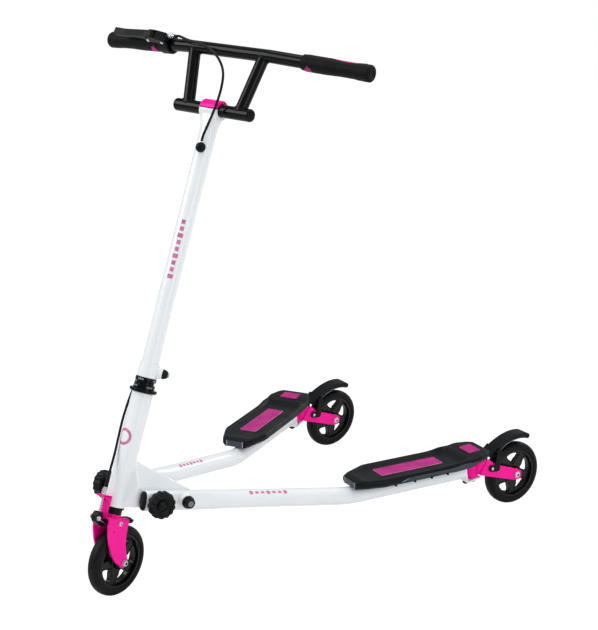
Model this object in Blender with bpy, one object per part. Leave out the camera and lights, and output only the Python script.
"""Three-wheeled swing-arm stunt scooter, modelled as separate pieces on their joint axes.

Metres, +Z up. The front wheel is at -Y, the two decks trail towards +Y, +X is the rider's left.
Sizes are the real ones. Each group of pieces hangs on an empty that lies on its joint's axis.
"""

import math

import bmesh
import bpy
import numpy as np
from mathutils import Matrix, Vector

# Clearance between touching pieces, and the bores that shafts turn in
GAP = 0.0003

# Wheels
WHEEL_RADIUS = 0.0625
TYRE_WIDTH = 0.024
RIM_RADIUS = 0.0482
RIM_LIP_RADIUS = 0.0440
RIM_WIDTH = 0.021
WEB_THICKNESS = 0.011
HUB_RADIUS = 0.0130
HUB_WIDTH = 0.028
SPOKES = 5
AXLE_RADIUS = 0.0040
AXLE_HEAD_RADIUS = 0.0068
AXLE_HEAD_LENGTH = 0.0040
WHEEL_SIDES = 28

# Steering axis
RAKE = math.radians(21.0)
AXLE_OFFSET = 0.0405
STEER_REST = math.radians(5.7)

# Head tube and headset, as heights along the steering axis from the front axle's height
HEAD_TUBE_RADIUS = 0.0180
HEAD_TUBE_WALL = 0.0030
HEAD_TUBE_BOTTOM = 0.0940
HEAD_TUBE_TOP = 0.2920
LOWER_CUP_RADIUS = 0.0155
LOWER_CUP_LENGTH = 0.0120
UPPER_CUP_RADIUS = 0.0238
UPPER_CUP_LENGTH = 0.0065
LOCKNUT_RADIUS = 0.0182
LOCKNUT_LENGTH = 0.0188
STEERER_RADIUS = 0.0125
STEERER_WALL = 0.0025
STEERER_ENGAGEMENT = 0.085

# T-bar
POST_RADIUS = 0.0148
CROSSBAR_HEIGHT = 0.7845
BAR_RISE = 0.1033
BAR_HEIGHT = CROSSBAR_HEIGHT + BAR_RISE
BAR_SETBACK = 0.0030
BAR_RADIUS = 0.0110
BAR_WALL = 0.0020
BAR_HALF_WIDTH = 0.2810
BAR_SWEEP = math.radians(4.4)
BAR_DROOP = math.radians(1.1)
BAR_BEND_RADIUS = 0.060
CROSSBAR_HALF_WIDTH = 0.0835
RISER_FOOT_HALF_SPACING = 0.0560
RISER_HEAD_HALF_SPACING = 0.0760
RISER_RADIUS = 0.0105
CLAMP_RADIUS = 0.0168
CLAMP_LENGTH = 0.0370
COLLAR_RADIUS = 0.0170
COLLAR_LENGTH = 0.0250
COLLAR_PIN_HEIGHT = 0.0115
COLLAR_PIN_ANGLE = math.radians(40.0)
COLLAR_BOSS_RADIUS = 0.0085
COLLAR_BOSS_REACH = 0.0240

# Grips
GRIP_LENGTH = {"left": 0.1320, "right": 0.1366}
GRIP_FLANGE_RADIUS = 0.0136
GRIP_RADIUS = 0.0142
GRIP_WAIST_RADIUS = 0.0130
GRIP_END_RADIUS = 0.0145
GRIP_END_WALL = 0.0060

# Pull pins on the collar and on the arms
PIN_RADIUS = 0.0030
PIN_CAP_LENGTH = 0.0150

# Fork
FORK_HALF_WIDTH = 0.0190
FORK_PLATE = 0.0035
CROWN_TOP = 0.0770
CROWN_FRONT = -0.0245
CROWN_REAR = 0.0260
LEG_FOOT_RADIUS = 0.0105
BRAKE_PIVOT_SETBACK = 0.0040
BRAKE_PIVOT_HEIGHT = 0.0682
BRAKE_PIVOT_RADIUS = 0.0030
BRAKE_PIVOT_HEAD_RADIUS = 0.0048
BRAKE_PIVOT_HEAD_LENGTH = 0.0028
BRAKE_NOSE_RISE = 0.0148
BRAKE_ARM_HALF_WIDTH = 0.0070
BRAKE_SHOE_HALF_WIDTH = 0.0110
ANCHOR_RADIUS = 0.0020
ANCHOR_HEAD_RADIUS = 0.0042
ANCHOR_HEAD_LENGTH = 0.0030
ANCHOR_SETBACK = -0.0400
ANCHOR_RISE = 0.0045

# Cable tab in front of the head tube
TAB_HALF_WIDTH = 0.0080
TAB_PLATE = 0.0030
TAB_TOP = 0.1120
TAB_REACH = -0.0420
WIRE_SETBACK = -0.0340
ADJUSTER_RADIUS = 0.0040
ADJUSTER_LENGTH = 0.0130
CABLE_RADIUS = 0.0022
WIRE_RADIUS = 0.0008
SPRING_RADIUS = 0.0029
SPRING_WIRE_RADIUS = 0.0005
SPRING_TURNS = 8
POINTS_PER_TURN = 9

# Brake lever on the right-hand grip
LEVER_TILT = math.radians(14.0)
LEVER_BRACKET_GAP = 0.0012
LEVER_BRACKET_LENGTH = 0.0200
LEVER_BRACKET_RADIUS = 0.0165
LEVER_PIVOT_OVERHANG = 0.0140
LEVER_PIVOT_REACH = 0.0270
LEVER_PIVOT_RADIUS = 0.0030
BARREL_REACH = 0.0172
BARREL_RISE = 0.0080
BARREL_LENGTH = 0.0130
LEVER_BLADE_REACH = 0.0315
LEVER_LENGTH = 0.0850
LEVER_BLADE_THICKNESS = 0.0070
LEVER_BLADE_HALF_HEIGHT = 0.0065
GRIP_INBOARD = BAR_HALF_WIDTH / math.cos(BAR_SWEEP) + GRIP_END_WALL - GRIP_LENGTH["right"]
LEVER_BRACKET_INNER = GRIP_INBOARD - LEVER_BRACKET_GAP - LEVER_BRACKET_LENGTH
LEVER_PIVOT_OUT = LEVER_BRACKET_INNER + LEVER_BRACKET_LENGTH + LEVER_PIVOT_OVERHANG
LEVER_TIP_OUT = LEVER_PIVOT_OUT + LEVER_LENGTH

# Arms, given for the rider's left side and mirrored for the right
ARM_PIVOT = Vector((0.0458, 0.0482, 0.1710))
ARM_SPLAY = math.radians(14.6)
ARM_DROP = math.radians(11.4)
ARM_FRONT_REACH = 0.0220
ARM_HALF_THICKNESS = 0.0100
BORE_TURN = math.radians(11.0)
ARM_HALF_HEIGHT = 0.0172
ARM_FLAT_LENGTH = 0.0850
ARM_ROUND_FROM = 0.1350
ARM_TUBE_RADIUS = 0.0160
ARM_TUBE_WALL = 0.0020
ARM_BEND_RADIUS = 0.250
REAR_RUN_HEIGHT = 0.0910
REAR_HEADING = math.radians(18.5)
END_CAP_LENGTH = 0.0050
KNOB_RADIUS = 0.0235
KNOB_LOBES = 13
KNOB_LOBE_DEPTH = 0.0009
KNOB_LENGTH = 0.0180
KNOB_HUB_RADIUS = 0.0100
KNOB_HUB_LENGTH = {"left": 0.0045, "right": 0.0140}
KNOB_BOLT_RADIUS = 0.0050
KNOB_BOLT_REACH = 0.0220
ARM_PIN_SETBACK = 0.0505
ARM_PIN_RISE = 0.0040
ARM_BOSS_RADIUS = 0.0085
ARM_BOSS_REACH = 0.0190
ARM_PIN_CAP_RADIUS = 0.0112

# Frame gusset behind the head tube
GUSSET_FRONT = -0.0300
GUSSET_REAR = 0.0750
GUSSET_BOTTOM = -0.0160
GUSSET_TIP_RISE = 0.0150
GUSSET_TOP = 0.2410
GUSSET_FOOT = 0.1660
GUSSET_WALL = 0.0040
GUSSET_RIB = 0.0030

# Kingpin and caster
KINGPIN_FOOT = Vector((0.2328, 0.7015, 0.0625))
KINGPIN_LEAN = math.radians(9.0)
KINGPIN_RISE = 0.0030
KINGPIN_RADIUS = 0.0040
KINGPIN_HEAD_RADIUS = 0.0075
KINGPIN_CAP_RADIUS = 0.0090
KINGPIN_CAP_LENGTH = 0.0050
BRACKET_PLATE = 0.0035
BRACKET_HALF_WIDTH = 0.0140
BRACKET_FRONT = -0.0205
BRACKET_REAR = 0.0130
PIVOT_TUBE_RADIUS = 0.0120
PIVOT_TUBE_LENGTH = 0.0315
CASTER_TRAIL = 0.0985
CASTER_REST = {"left": math.radians(3.7), "right": math.radians(-27.8)}
YOKE_HALF_WIDTH = 0.0180
YOKE_PLATE = 0.0030
YOKE_FOOT_RADIUS = 0.0090

# Fender brake over each rear wheel
FENDER_PIVOT = (-0.0660, 0.0270)
FENDER_HALF_WIDTH = 0.0140
FENDER_EAR = 0.0030
FENDER_EAR_RADIUS = 0.0070
FENDER_PIN_RADIUS = 0.0025

# Deck on each arm, along its own centre line from the kingpin's foot
DECK_OFFSET = 0.0055
DECK_FRONT = -0.2800
DECK_REAR = 0.0150
DECK_HALF_WIDTH = 0.0462
DECK_NOSE_HALF_WIDTH = 0.0250
DECK_TAIL_HALF_WIDTH = 0.0290
DECK_TOP = 0.1260
DECK_TAIL_TOP = 0.1355
DECK_CHAMFER = 0.0045
DECK_SKIRT_LIFT = 0.0030
DECK_SKIN = 0.0035
DECK_LOWER_EDGE = 0.0050
DECK_NOSE_LENGTH = 0.0520
DECK_RAMP_LENGTH = 0.0690
DECK_SPINE_HALF_WIDTH = 0.0070
DECK_POCKETS = 4
PAD_CENTRE = -0.1530
PAD_LENGTH = 0.1360
PAD_HALF_WIDTH = 0.0173
PAD_THICKNESS = 0.0014

SIDES = {"left": 1.0, "right": -1.0}
ROUND = 16

bodies = {}
materials = {}


def clear_scene():
    for item in list(bpy.data.objects):
        bpy.data.objects.remove(item, do_unlink=True)


def material(name, colour, roughness, metallic=0.0):
    if name not in materials:
        made = bpy.data.materials.new(name)
        made.use_nodes = True
        shader = made.node_tree.nodes["Principled BSDF"]
        shader.inputs["Base Color"].default_value = (*colour, 1.0)
        shader.inputs["Roughness"].default_value = roughness
        shader.inputs["Metallic"].default_value = metallic
        materials[name] = made
    return materials[name]


def white_paint():
    return material("white_paint", (0.86, 0.87, 0.88), 0.25)


def black_paint():
    return material("black_paint", (0.012, 0.012, 0.014), 0.22)


def pink_paint():
    return material("pink_paint", (1.0, 0.02, 0.36), 0.35)


def black_plastic():
    return material("black_plastic", (0.016, 0.016, 0.019), 0.5)


def deck_plastic():
    return material("deck_plastic", (0.018, 0.019, 0.024), 0.55)


def tyre_rubber():
    return material("tyre_rubber", (0.02, 0.02, 0.021), 0.6)


def grip_rubber():
    return material("grip_rubber", (0.014, 0.014, 0.015), 0.7)


def pad_rubber():
    return material("pad_rubber", (0.45, 0.03, 0.22), 0.75)


def steel():
    return material("steel", (0.62, 0.62, 0.64), 0.3, 1.0)


def cable_cover():
    return material("cable_cover", (0.012, 0.012, 0.013), 0.4)


def frame_at(origin, z_axis, x_hint):
    """Right-handed frame at origin, with its Z axis given and its X axis near x_hint."""
    z = Vector(z_axis).normalized()
    y = z.cross(Vector(x_hint)).normalized()
    x = y.cross(z)
    turned = Matrix((x, y, z)).transposed().to_4x4()
    return Matrix.Translation(Vector(origin)) @ turned


def turn(axis, angle):
    return Matrix.Rotation(angle, 4, axis)


def shift(x, y, z):
    return Matrix.Translation(Vector((x, y, z)))


def body(name, place, parent=None):
    """An empty on a joint's axis. place is its frame in the unposed scooter."""
    empty = bpy.data.objects.new(name, None)
    bpy.context.collection.objects.link(empty)
    empty.empty_display_size = 0.03
    above = bodies[parent][1] if parent else Matrix.Identity(4)
    empty.parent = bodies[parent][0] if parent else None
    empty.matrix_basis = above.inverted() @ place
    bodies[name] = (empty, place)
    return empty


def pose(name, angle):
    """Turn a body's empty about its own Z axis, away from the unposed scooter."""
    empty = bodies[name][0]
    empty.matrix_basis = empty.matrix_basis @ turn("Z", angle)


def mesh_from(name, points, faces):
    mesh = bpy.data.meshes.new(name)
    mesh.from_pydata([tuple(p) for p in points], [], faces)
    tool = bmesh.new()
    tool.from_mesh(mesh)
    bmesh.ops.recalc_face_normals(tool, faces=tool.faces)
    tool.to_mesh(mesh)
    tool.free()
    mesh.update()
    return mesh


def add(name, mesh, on, place, finish, bevel=0.0):
    """One sub-part: a mesh with its own frame, hung on the empty of the body it moves with."""
    piece = bpy.data.objects.new(name, mesh)
    bpy.context.collection.objects.link(piece)
    empty, home = bodies[on]
    piece.parent = empty
    piece.matrix_basis = home.inverted() @ place
    if finish:
        mesh.materials.append(finish)
    if bevel:
        rounding = piece.modifiers.new("edges", "BEVEL")
        rounding.width = bevel
        rounding.segments = 1
        rounding.limit_method = "ANGLE"
        rounding.angle_limit = math.radians(40)
    if hasattr(mesh, "shade_smooth"):
        mesh.shade_smooth()
        mesh.set_sharp_from_angle(angle=math.radians(35))
    return piece


def tool_body(name, mesh, on, place):
    """A cutter, or a shape to be joined, that the build leaves out."""
    piece = add(name, mesh, on, place, None)
    piece.hide_render = True
    piece.display_type = "WIRE"
    return piece


def boolean(piece, other, operation):
    step = piece.modifiers.new(other.name, "BOOLEAN")
    step.object = other
    step.operation = operation
    return piece


def cut(piece, mesh, on, place):
    return boolean(piece, tool_body(piece.name + "_cut", mesh, on, place), "DIFFERENCE")


def join(piece, mesh, on, place):
    return boolean(piece, tool_body(piece.name + "_join", mesh, on, place), "UNION")


def revolve(name, profile, sides=ROUND, hollow=False):
    """Turn (radius, height) points about Z. A hollow profile is a closed loop off the axis."""
    points = []
    rings = []
    for radius, height in profile:
        if radius == 0.0:
            rings.append([len(points)])
            points.append((0.0, 0.0, height))
            continue
        rings.append(list(range(len(points), len(points) + sides)))
        for step in range(sides):
            angle = 2.0 * math.pi * step / sides
            points.append((radius * math.cos(angle), radius * math.sin(angle), height))
    faces = []
    pairs = list(zip(rings, rings[1:]))
    if hollow:
        pairs.append((rings[-1], rings[0]))
    for low, high in pairs:
        for step in range(sides):
            after = (step + 1) % sides
            if len(low) == 1:
                faces.append((low[0], high[after], high[step]))
            elif len(high) == 1:
                faces.append((low[step], low[after], high[0]))
            else:
                faces.append((low[step], low[after], high[after], high[step]))
    return mesh_from(name, points, faces)


def rod(name, radius, low, high, sides=ROUND):
    return revolve(name, [(0.0, low), (radius, low), (radius, high), (0.0, high)], sides)


def pipe(name, outer, inner, low, high, sides=ROUND):
    loop = [(inner, low), (outer, low), (outer, high), (inner, high)]
    return revolve(name, loop, sides, hollow=True)


def bolt(name, radius, low, high, head, head_length, sides=12):
    """A shaft along Z with a round head at both ends."""
    profile = [
        (0.0, low - head_length),
        (head * 0.8, low - head_length),
        (head, low - head_length * 0.6),
        (head, low),
        (radius, low),
        (radius, high),
        (head, high),
        (head, high + head_length * 0.6),
        (head * 0.8, high + head_length),
        (0.0, high + head_length),
    ]
    return revolve(name, profile, sides)


def prism(name, outline, low, high):
    """Extrude a flat outline of (y, z) points along X."""
    count = len(outline)
    points = [(low, y, z) for y, z in outline] + [(high, y, z) for y, z in outline]
    faces = [tuple(range(count)), tuple(range(2 * count - 1, count - 1, -1))]
    for step in range(count):
        after = (step + 1) % count
        faces.append((step, after, after + count, step + count))
    return mesh_from(name, points, faces)


def loft(name, sections, closed_ends=True):
    """Skin a row of loops that have the same number of points."""
    count = len(sections[0])
    points = [point for section in sections for point in section]
    faces = []
    for row in range(len(sections) - 1):
        for step in range(count):
            after = (step + 1) % count
            base = row * count
            faces.append((base + step, base + after, base + after + count, base + step + count))
    if closed_ends:
        faces.append(tuple(range(count)))
        faces.append(tuple(range(len(points) - count, len(points))))
    return mesh_from(name, points, faces)


def hull(name, points):
    """The convex solid round a few corners."""
    mesh = bpy.data.meshes.new(name)
    tool = bmesh.new()
    for point in points:
        tool.verts.new(point)
    bmesh.ops.convex_hull(tool, input=tool.verts)
    bmesh.ops.dissolve_limit(tool, angle_limit=0.001, verts=tool.verts, edges=tool.edges)
    bmesh.ops.recalc_face_normals(tool, faces=tool.faces)
    tool.to_mesh(mesh)
    tool.free()
    return mesh


def arc(centre, radius, start, end, steps):
    """Points on an arc, angles in degrees from +Y towards +Z."""
    points = []
    for step in range(steps + 1):
        angle = math.radians(start + (end - start) * step / steps)
        points.append((centre[0] + radius * math.cos(angle), centre[1] + radius * math.sin(angle)))
    return points


def smooth_route(knots, spacing):
    """Points along a smooth curve through the knots, at an even spacing."""
    knots = [Vector(k) for k in knots]
    padded = [2 * knots[0] - knots[1], *knots, 2 * knots[-1] - knots[-2]]
    dense = []
    for p0, p1, p2, p3 in zip(padded, padded[1:], padded[2:], padded[3:]):
        for step in range(24):
            t = step / 24
            dense.append(0.5 * ((2 * p1) + (p2 - p0) * t + (2 * p0 - 5 * p1 + 4 * p2 - p3) * t * t
                                + (3 * p1 - p0 - 3 * p2 + p3) * t ** 3))
    dense.append(knots[-1])
    lengths = [0.0]
    for before, after in zip(dense, dense[1:]):
        lengths.append(lengths[-1] + (after - before).length)
    count = max(2, round(lengths[-1] / spacing))
    route = []
    for step in range(count + 1):
        wanted = lengths[-1] * step / count
        place = min(int(np.searchsorted(lengths, wanted)), len(dense) - 1)
        if place == 0:
            route.append(dense[0])
            continue
        share = (wanted - lengths[place - 1]) / (lengths[place] - lengths[place - 1])
        route.append(dense[place - 1].lerp(dense[place], share))
    return route, lengths[-1]


def cord(name, route, radius, on, place, finish, roundness):
    """A round cord along the route, as a bevelled curve with filled ends."""
    curve = bpy.data.curves.new(name, "CURVE")
    curve.dimensions = "3D"
    spline = curve.splines.new("POLY")
    spline.points.add(len(route) - 1)
    for point, where in zip(spline.points, route):
        point.co = (*where, 1.0)
    curve.bevel_depth = radius
    curve.bevel_resolution = roundness
    curve.use_fill_caps = True
    piece = bpy.data.objects.new(name, curve)
    bpy.context.collection.objects.link(piece)
    empty, home = bodies[on]
    piece.parent = empty
    piece.matrix_basis = home.inverted() @ place
    curve.materials.append(finish)
    return piece


def swept_tube(name, path, ups, section, inner_section, end_plane=None):
    """A tube with open ends. section(i) gives half width and half height at path point i.

    With an end_plane, given as a point and a normal, the last end is cut off along that plane.
    """
    outer = []
    inner = []
    for i, point in enumerate(path):
        ahead = path[min(i + 1, len(path) - 1)] - path[max(i - 1, 0)]
        ahead.normalize()
        across = ahead.cross(ups[i]).normalized()
        up = across.cross(ahead)
        for rings, size in ((outer, section(i)), (inner, inner_section(i))):
            ring = []
            for step in range(ROUND):
                angle = 2.0 * math.pi * step / ROUND
                ring.append(point + across * (size[0] * math.cos(angle)) + up * (size[1] * math.sin(angle)))
            rings.append(ring)
    if end_plane:
        on_plane, normal = end_plane
        run = (path[-1] - path[-2]).normalized()
        for rings in (outer, inner):
            rings[-1] = [p + run * ((on_plane - p).dot(normal) / run.dot(normal)) for p in rings[-1]]
    loops = outer + inner[::-1]
    count = len(loops)
    points = [point for ring in loops for point in ring]
    faces = []
    for row in range(count):
        base = row * ROUND
        following = ((row + 1) % count) * ROUND
        for step in range(ROUND):
            after = (step + 1) % ROUND
            faces.append((base + step, base + after, following + after, following + step))
    return mesh_from(name, points, faces)


def filleted(corner, before, after, radius, steps):
    """Arc points that round the corner between two straight runs."""
    into = (corner - before).normalized()
    out = (after - corner).normalized()
    bend = into.angle(out)
    reach = radius * math.tan(bend / 2)
    start = corner - into * reach
    side = (out - into * out.dot(into)).normalized()
    centre = start + side * radius
    points = []
    for step in range(steps + 1):
        angle = bend * step / steps
        points.append(centre - side * (radius * math.cos(angle)) + into * (radius * math.sin(angle)))
    return points


def steering_frame():
    """Origin on the steering axis at the front axle's height along it, Z up the axis, Y rearwards."""
    up = Vector((0.0, math.sin(RAKE), math.cos(RAKE)))
    rear = Vector((0.0, math.cos(RAKE), -math.sin(RAKE)))
    origin = Vector((0.0, 0.0, WHEEL_RADIUS)) - rear * AXLE_OFFSET
    return frame_at(origin, up, (1, 0, 0))


STEERING = steering_frame()
LOCKNUT_BOTTOM = HEAD_TUBE_TOP + UPPER_CUP_LENGTH + 2 * GAP
LOCKNUT_TOP = LOCKNUT_BOTTOM + LOCKNUT_LENGTH
POST_BOTTOM = LOCKNUT_TOP + GAP
COLLAR_PIN_Z = POST_BOTTOM + COLLAR_PIN_HEIGHT
STEERER_TOP = POST_BOTTOM + STEERER_ENGAGEMENT
HEADSET_BORE = STEERER_RADIUS + GAP


def across_frame(place, y, z):
    """Frame whose Z axis runs along the given frame's X axis, at a (y, z) point of it."""
    return place @ shift(0, y, z) @ turn("Y", math.pi / 2)


def wheel(name, on, place):
    """Tyre and rim of one wheel, about the Z axis of place."""
    half = RIM_WIDTH / 2
    web = WEB_THICKNESS / 2
    hub = HUB_WIDTH / 2
    bore = AXLE_RADIUS + GAP
    rim_profile = [
        (bore, -hub), (HUB_RADIUS, -hub), (HUB_RADIUS, -web), (RIM_LIP_RADIUS, -web),
        (RIM_LIP_RADIUS, -half), (RIM_RADIUS, -half), (RIM_RADIUS, half), (RIM_LIP_RADIUS, half),
        (RIM_LIP_RADIUS, web), (HUB_RADIUS, web), (HUB_RADIUS, hub), (bore, hub),
    ]
    rim = add(name + "_rim", revolve(name + "_rim", rim_profile, WHEEL_SIDES, hollow=True), on, place,
              black_plastic())
    cut(rim, spoke_windows(name), on, place)
    seat = RIM_RADIUS + GAP
    wall = TYRE_WIDTH / 2
    tyre_profile = [
        (seat, -half), (seat + 0.004, -wall), (WHEEL_RADIUS - 0.0040, -wall * 0.88),
        (WHEEL_RADIUS, -wall * 0.35), (WHEEL_RADIUS, wall * 0.35), (WHEEL_RADIUS - 0.0040, wall * 0.88),
        (seat + 0.004, wall), (seat, half),
    ]
    add(name + "_tyre", revolve(name + "_tyre", tyre_profile, WHEEL_SIDES, hollow=True), on, place,
        tyre_rubber())


def spoke_windows(name):
    """One cutter with a rounded drop-shaped window between each pair of spokes."""
    points = []
    faces = []
    inner = HUB_RADIUS + 0.0065
    outer = RIM_LIP_RADIUS - 0.0035
    outer_half = math.radians(25)
    inner_half = math.radians(12)
    outline = [(inner, 0.0), (inner + 0.0025, inner_half), (outer - 0.009, outer_half * 0.86),
               (outer - 0.003, outer_half), (outer, outer_half * 0.72), (outer, 0.0)]
    loop = outline + [(r, -a) for r, a in outline[-2:0:-1]]
    for spoke in range(SPOKES):
        middle = 2.0 * math.pi * (spoke + 0.5) / SPOKES
        base = len(points)
        for height in (-HUB_WIDTH, HUB_WIDTH):
            for radius, angle in loop:
                points.append((radius * math.cos(middle + angle), radius * math.sin(middle + angle), height))
        count = len(loop)
        faces.append(tuple(range(base, base + count)))
        faces.append(tuple(range(base + 2 * count - 1, base + count - 1, -1)))
        for step in range(count):
            after = (step + 1) % count
            faces.append((base + step, base + after, base + after + count, base + step + count))
    return mesh_from(name + "_windows", points, faces)


def make_frame():
    """Head tube, headset cups and the welded gusset that carries the arms."""
    body("frame", STEERING)
    inner = HEAD_TUBE_RADIUS - HEAD_TUBE_WALL
    add("head_tube", pipe("head_tube", HEAD_TUBE_RADIUS, inner, HEAD_TUBE_BOTTOM, HEAD_TUBE_TOP, 24),
        "frame", STEERING, white_paint())
    lower_top = HEAD_TUBE_BOTTOM - GAP
    lower = lower_top - LOWER_CUP_LENGTH
    cup = [(HEADSET_BORE, lower), (LOWER_CUP_RADIUS - 0.0015, lower), (LOWER_CUP_RADIUS, lower + 0.002),
           (LOWER_CUP_RADIUS, lower + 0.009), (HEAD_TUBE_RADIUS, lower + 0.0095), (HEAD_TUBE_RADIUS, lower_top),
           (HEADSET_BORE, lower_top)]
    add("headset_lower_cup", revolve("headset_lower_cup", cup, 24, hollow=True), "frame", STEERING,
        black_paint())
    base = HEAD_TUBE_TOP + GAP
    top = base + UPPER_CUP_LENGTH
    flange = [(HEADSET_BORE, base), (HEAD_TUBE_RADIUS, base), (UPPER_CUP_RADIUS - 0.001, base + 0.0008),
              (UPPER_CUP_RADIUS, base + 0.0025), (UPPER_CUP_RADIUS - 0.0012, top - 0.0012),
              (LOCKNUT_RADIUS + 0.001, top), (HEADSET_BORE, top)]
    add("headset_upper_cup", revolve("headset_upper_cup", flange, 24, hollow=True), "frame", STEERING,
        black_paint())
    make_gusset()


def arm_frame(side):
    """Frame at one arm's pivot: X across to the rider's left, Y back along the arm, Z up from it."""
    sign = SIDES[side]
    pivot = Vector((ARM_PIVOT.x * sign, ARM_PIVOT.y, ARM_PIVOT.z))
    ahead = Vector((math.sin(ARM_SPLAY) * math.cos(ARM_DROP) * sign,
                    math.cos(ARM_SPLAY) * math.cos(ARM_DROP), -math.sin(ARM_DROP)))
    across = Vector((math.cos(ARM_SPLAY), -math.sin(ARM_SPLAY) * sign, 0.0))
    return frame_at(pivot, across.cross(ahead), across)


def gusset_corner(side, setback, rise, inset):
    """A point on or inside the gusset's side, given in the arm's own frame."""
    reach = -(ARM_HALF_THICKNESS + GAP + inset) * SIDES[side]
    return arm_frame(side) @ Vector((reach, setback, rise))


def make_gusset():
    """A folded sheet box from the head tube to both arms, open below, with a rib down its middle."""
    axis_y = (GUSSET_TOP - STEERING.translation.z) * math.tan(RAKE) + STEERING.translation.y
    foot_y = (GUSSET_FOOT - STEERING.translation.z) * math.tan(RAKE) + STEERING.translation.y
    corners = []
    pocket = []
    for side, sign in SIDES.items():
        corners.append([
            Vector((sign * 0.0130, axis_y + 0.008, GUSSET_TOP)),
            Vector((sign * 0.0150, foot_y + 0.002, GUSSET_FOOT)),
            gusset_corner(side, GUSSET_FRONT, GUSSET_BOTTOM, 0.0),
            gusset_corner(side, GUSSET_REAR, GUSSET_BOTTOM, 0.0),
            gusset_corner(side, GUSSET_REAR, GUSSET_TIP_RISE, 0.0),
            gusset_corner(side, GUSSET_FRONT, 0.020, 0.0),
        ])
        wall = GUSSET_WALL
        pocket_corners = [
            gusset_corner(side, setback, rise, wall)
            for setback, rise in ((-0.008, -0.05), (GUSSET_REAR - wall, -0.05),
                                  (GUSSET_REAR - wall, GUSSET_TIP_RISE - wall), (-0.008, 0.010))
        ]
        under = corners[-1][0].lerp(corners[-1][4], 0.38)
        pocket_corners.append(Vector((under.x - sign * 1.5 * wall, under.y - wall, under.z - 1.5 * wall)))
        middle = [Vector((sign * GUSSET_RIB / 2, point.y, point.z)) for point in pocket_corners]
        pocket.append(hull("gusset_pocket_" + side, pocket_corners + middle))
    left, right = corners
    count = len(left)
    top, foot, low_front, low_rear, tip, bend = range(count)
    faces = []
    for base, flip in ((0, 1), (count, -1)):
        for face in ((bend, low_front, low_rear, tip), (top, foot, bend), (foot, low_front, bend),
                     (top, bend, tip)):
            faces.append(tuple(base + i for i in face)[::flip])
    for before, after in ((top, tip), (tip, low_rear), (low_rear, low_front), (low_front, foot),
                          (foot, top)):
        faces.append((before, after, after + count, before + count))
    world = Matrix.Identity(4)
    gusset = add("frame_gusset", mesh_from("frame_gusset", left + right, faces), "frame", world, white_paint())
    for mesh in pocket:
        cut(gusset, mesh, "frame", world)
    cut(gusset, rod("head_tube_seat", HEAD_TUBE_RADIUS + GAP, 0.0, HEAD_TUBE_TOP, 24), "frame", STEERING)
    for side in SIDES:
        hole = rod("pivot_hole_" + side, KNOB_BOLT_RADIUS + GAP, -KNOB_BOLT_REACH, KNOB_BOLT_REACH, 12)
        place = across_frame(arm_frame(side), 0, 0)
        inset = shift(0, 0, -SIDES[side] * 0.012)
        cut(gusset, hole, "frame", place @ inset)


def leg_outline():
    """Side view of a fork leg, (y, z) in the steering frame, from the crown down round the axle."""
    foot = arc((AXLE_OFFSET - 0.003, 0.0015), LEG_FOOT_RADIUS, 215, 380, 6)
    return [
        (CROWN_FRONT, CROWN_TOP), (-0.0235, 0.0650), (-0.0185, 0.0490), (-0.0095, 0.0300), (0.0045, 0.0110),
        (0.0180, -0.0005), *foot, (0.0405, 0.0160), (0.0345, 0.0260), (0.0290, 0.0430), (0.0265, 0.0600),
        (CROWN_REAR, CROWN_TOP),
    ]


def make_fork():
    """Everything that turns with the front wheel below the headset."""
    body("steering", STEERING, "frame")
    fork = add("fork", prism("fork", leg_outline(), -FORK_HALF_WIDTH, FORK_HALF_WIDTH), "steering", STEERING,
               pink_paint())
    inside = FORK_HALF_WIDTH - FORK_PLATE
    under = CROWN_TOP - FORK_PLATE
    slot = prism("fork_slot", [(-0.06, -0.04), (0.09, -0.04), (0.09, under), (-0.06, under)], -inside, inside)
    cut(fork, slot, "steering", STEERING)
    reach = FORK_HALF_WIDTH + 0.01
    axle_place = across_frame(STEERING, AXLE_OFFSET, 0.0)
    pivot_place = across_frame(STEERING, BRAKE_PIVOT_SETBACK, BRAKE_PIVOT_HEIGHT)
    cut(fork, rod("fork_axle_hole", AXLE_RADIUS + GAP, -reach, reach, 12), "steering", axle_place)
    cut(fork, rod("fork_pivot_hole", BRAKE_PIVOT_RADIUS + GAP, -reach, reach, 12), "steering", pivot_place)
    outside = FORK_HALF_WIDTH + GAP
    add("front_axle", bolt("front_axle", AXLE_RADIUS, -outside, outside, AXLE_HEAD_RADIUS, AXLE_HEAD_LENGTH),
        "steering", axle_place, steel())
    pivot_bolt = bolt("brake_pivot_bolt", BRAKE_PIVOT_RADIUS, -outside, outside, BRAKE_PIVOT_HEAD_RADIUS,
                      BRAKE_PIVOT_HEAD_LENGTH)
    add("brake_pivot_bolt", pivot_bolt, "steering", pivot_place, steel())
    inner = STEERER_RADIUS - STEERER_WALL
    steerer = add("steerer_tube", pipe("steerer_tube", STEERER_RADIUS, inner, CROWN_TOP + GAP, STEERER_TOP),
                  "steering", STEERING, steel())
    cut(steerer, collar_pin_hole("steerer_pin_hole", STEERER_RADIUS), "steering", collar_pin_frame())
    nut = [(HEADSET_BORE, LOCKNUT_BOTTOM), (LOCKNUT_RADIUS - 0.001, LOCKNUT_BOTTOM),
           (LOCKNUT_RADIUS, LOCKNUT_BOTTOM + 0.001), (LOCKNUT_RADIUS, LOCKNUT_BOTTOM + 0.006),
           (LOCKNUT_RADIUS - 0.0016, LOCKNUT_BOTTOM + 0.008), (LOCKNUT_RADIUS - 0.0004, LOCKNUT_TOP - 0.006),
           (LOCKNUT_RADIUS, LOCKNUT_TOP - 0.0015), (LOCKNUT_RADIUS - 0.0015, LOCKNUT_TOP),
           (HEADSET_BORE, LOCKNUT_TOP)]
    add("headset_locknut", revolve("headset_locknut", nut, 24, hollow=True), "steering", STEERING,
        black_paint())
    make_cable_tab()


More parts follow.
